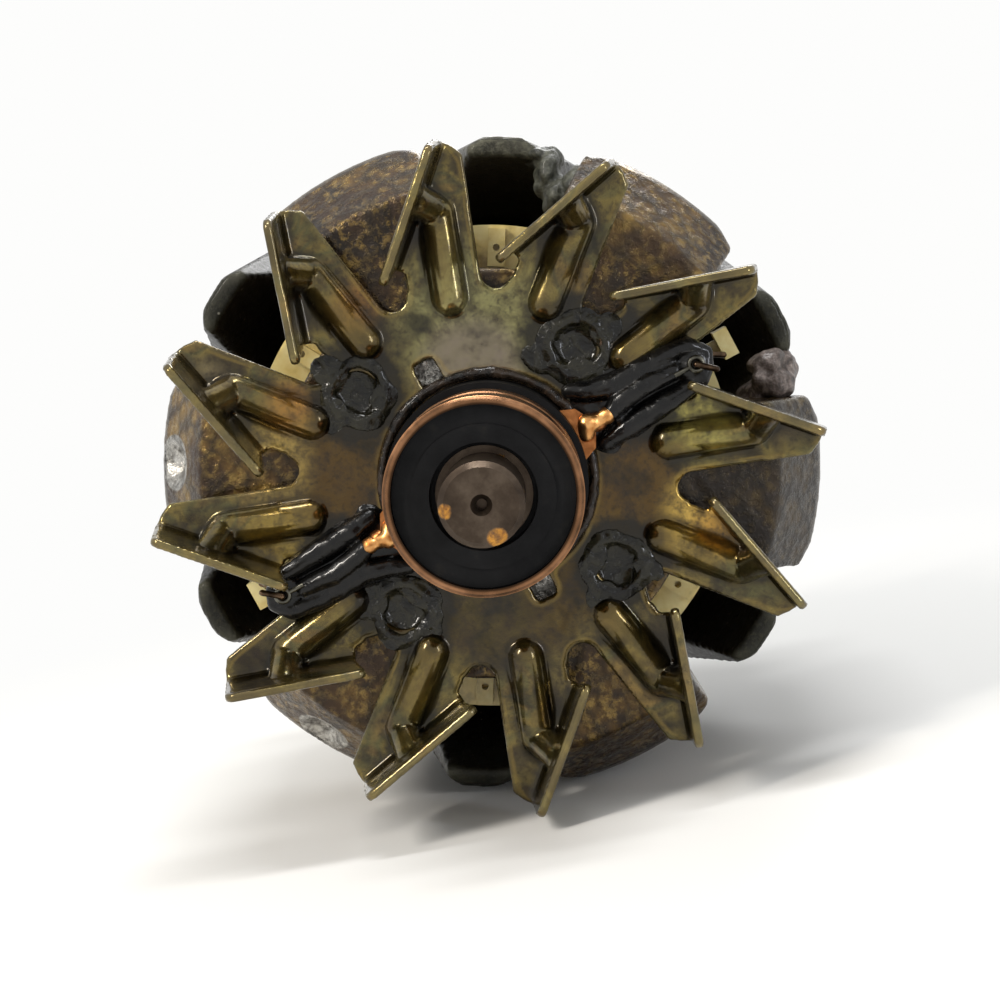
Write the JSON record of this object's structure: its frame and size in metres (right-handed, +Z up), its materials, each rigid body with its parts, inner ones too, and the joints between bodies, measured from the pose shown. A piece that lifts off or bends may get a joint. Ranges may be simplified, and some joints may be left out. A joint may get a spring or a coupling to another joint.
{
  "type": "claw-pole alternator rotor",
  "caption": "Claw-pole alternator rotor on its shaft, with interleaved forged claws round a field coil, ribbed stamped fans and copper slip rings.",
  "frame": {"origin": "on the shaft axis at the drive-end bearing shoulder", "axes": "+Y along the shaft towards the pulley end, -Y towards the slip rings, +Z up with the rotor lying on its claws"},
  "size_m": [0.106, 0.1625, 0.106],
  "materials": {
    "shaft_steel": "worn, lightly rusted",
    "slip_pole_steel": "forged, browned by varnish",
    "drive_pole_steel": "forged, dark varnish",
    "core_steel": "turned",
    "fan_zinc": "yellow zinc plate, iridescent",
    "collar_steel": "turned",
    "bobbin_nylon": "satin",
    "coil_copper": "enamelled and varnished",
    "coil_tape_brown": "resin-soaked tape",
    "ring_moulding_black": "moulded phenolic",
    "ring_copper": "worn copper",
    "lug_copper": "bright copper",
    "sleeve_black": "varnished",
    "eyelet_metal": "tinned",
    "lead_wire": "enamelled"
  },
  "bodies": {
    "root": {"shaft": "shaft_steel", "slip_end_pole": "slip_pole_steel", "drive_end_pole": "drive_pole_steel", "pole_core": "core_steel", "coil_bobbin": "bobbin_nylon", "field_coil": "coil_copper", "coil_tape": "coil_tape_brown", "slip_end_fan": "fan_zinc", "drive_end_fan": "fan_zinc", "drive_end_collar": "collar_steel", "ring_moulding": "ring_moulding_black", "outer_slip_ring": "ring_copper", "inner_slip_ring": "ring_copper", "ring_lug_a": "lug_copper", "ring_lug_b": "lug_copper", "lead_sleeve_a": "sleeve_black", "lead_sleeve_b": "sleeve_black", "lead_eyelet_a": "eyelet_metal", "lead_eyelet_b": "eyelet_metal", "coil_lead_a": "lead_wire", "coil_lead_b": "lead_wire"}
  },
  "joints": []
}
